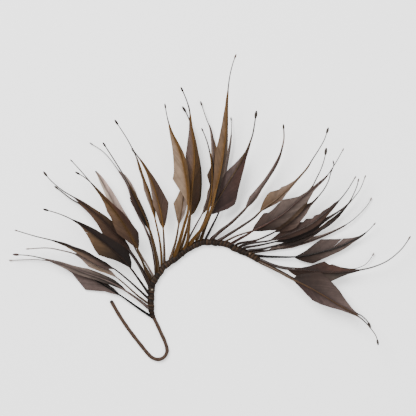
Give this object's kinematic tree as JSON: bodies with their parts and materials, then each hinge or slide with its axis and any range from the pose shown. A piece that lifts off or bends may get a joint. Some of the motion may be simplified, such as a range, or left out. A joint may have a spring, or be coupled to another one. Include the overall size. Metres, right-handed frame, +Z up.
{
  "type": "feather hat mount",
  "caption": "Fan of dyed, stripped and lance-cut goose feathers bound with spiral tape along an arched wire that ends in an open hook, for trimming a hat.",
  "frame": {"origin": "on the surface the spray lies on, under the middle of its bounding box", "axes": "+X along the spray's longest extent, towards the far end of the binding; +Y the way the middle feathers point; +Z up, away from the surface it lies on"},
  "size_m": [0.3626, 0.2758, 0.0436],
  "materials": {
    "wire_tape": "matt crepe tape wound in a spiral over steel wire, cut end bare",
    "binding_tape": "dark brown tape wound tightly in a spiral, slight sheen on the turns",
    "feather_sepia": "dyed feather, very dark brown, satin, semi-gloss rachis",
    "feather_umber": "dyed feather, mid brown, satin, golden-brown glossy rachis",
    "feather_plum": "dyed feather, purplish brown, satin",
    "feather_taupe": "dyed feather, grey-brown, one half lighter, satin",
    "feather_sand": "dyed feather, light beige-brown, satin",
    "feather_rose": "dyed feather, pale pinkish brown, thin and slightly translucent"
  },
  "bodies": {
    "root": {"wire": "wire_tape", "binding": "binding_tape", "feather_01": "feather_plum", "feather_02": "feather_rose", "feather_03": "feather_sand", "feather_04": "feather_umber", "feather_05": "feather_umber", "feather_06": "feather_sepia", "feather_07": "feather_sepia", "feather_08": "feather_umber", "feather_09": "feather_taupe", "feather_10": "feather_rose", "feather_11": "feather_sepia", "feather_12": "feather_sepia", "feather_13": "feather_umber", "feather_14": "feather_umber", "feather_15": "feather_sand", "feather_16": "feather_taupe", "feather_17": "feather_sepia", "feather_18": "feather_sand", "feather_19": "feather_taupe", "feather_20": "feather_umber", "feather_21": "feather_umber", "feather_22": "feather_taupe", "feather_23": "feather_sepia", "feather_24": "feather_umber", "feather_25": "feather_taupe", "feather_26": "feather_plum", "feather_27": "feather_taupe", "feather_28": "feather_umber", "feather_29": "feather_umber", "feather_30": "feather_sepia", "feather_31": "feather_sepia", "feather_32": "feather_plum", "feather_33": "feather_sepia", "feather_34": "feather_umber", "feather_35": "feather_taupe", "feather_36": "feather_umber", "feather_37": "feather_taupe"}
  },
  "joints": []
}
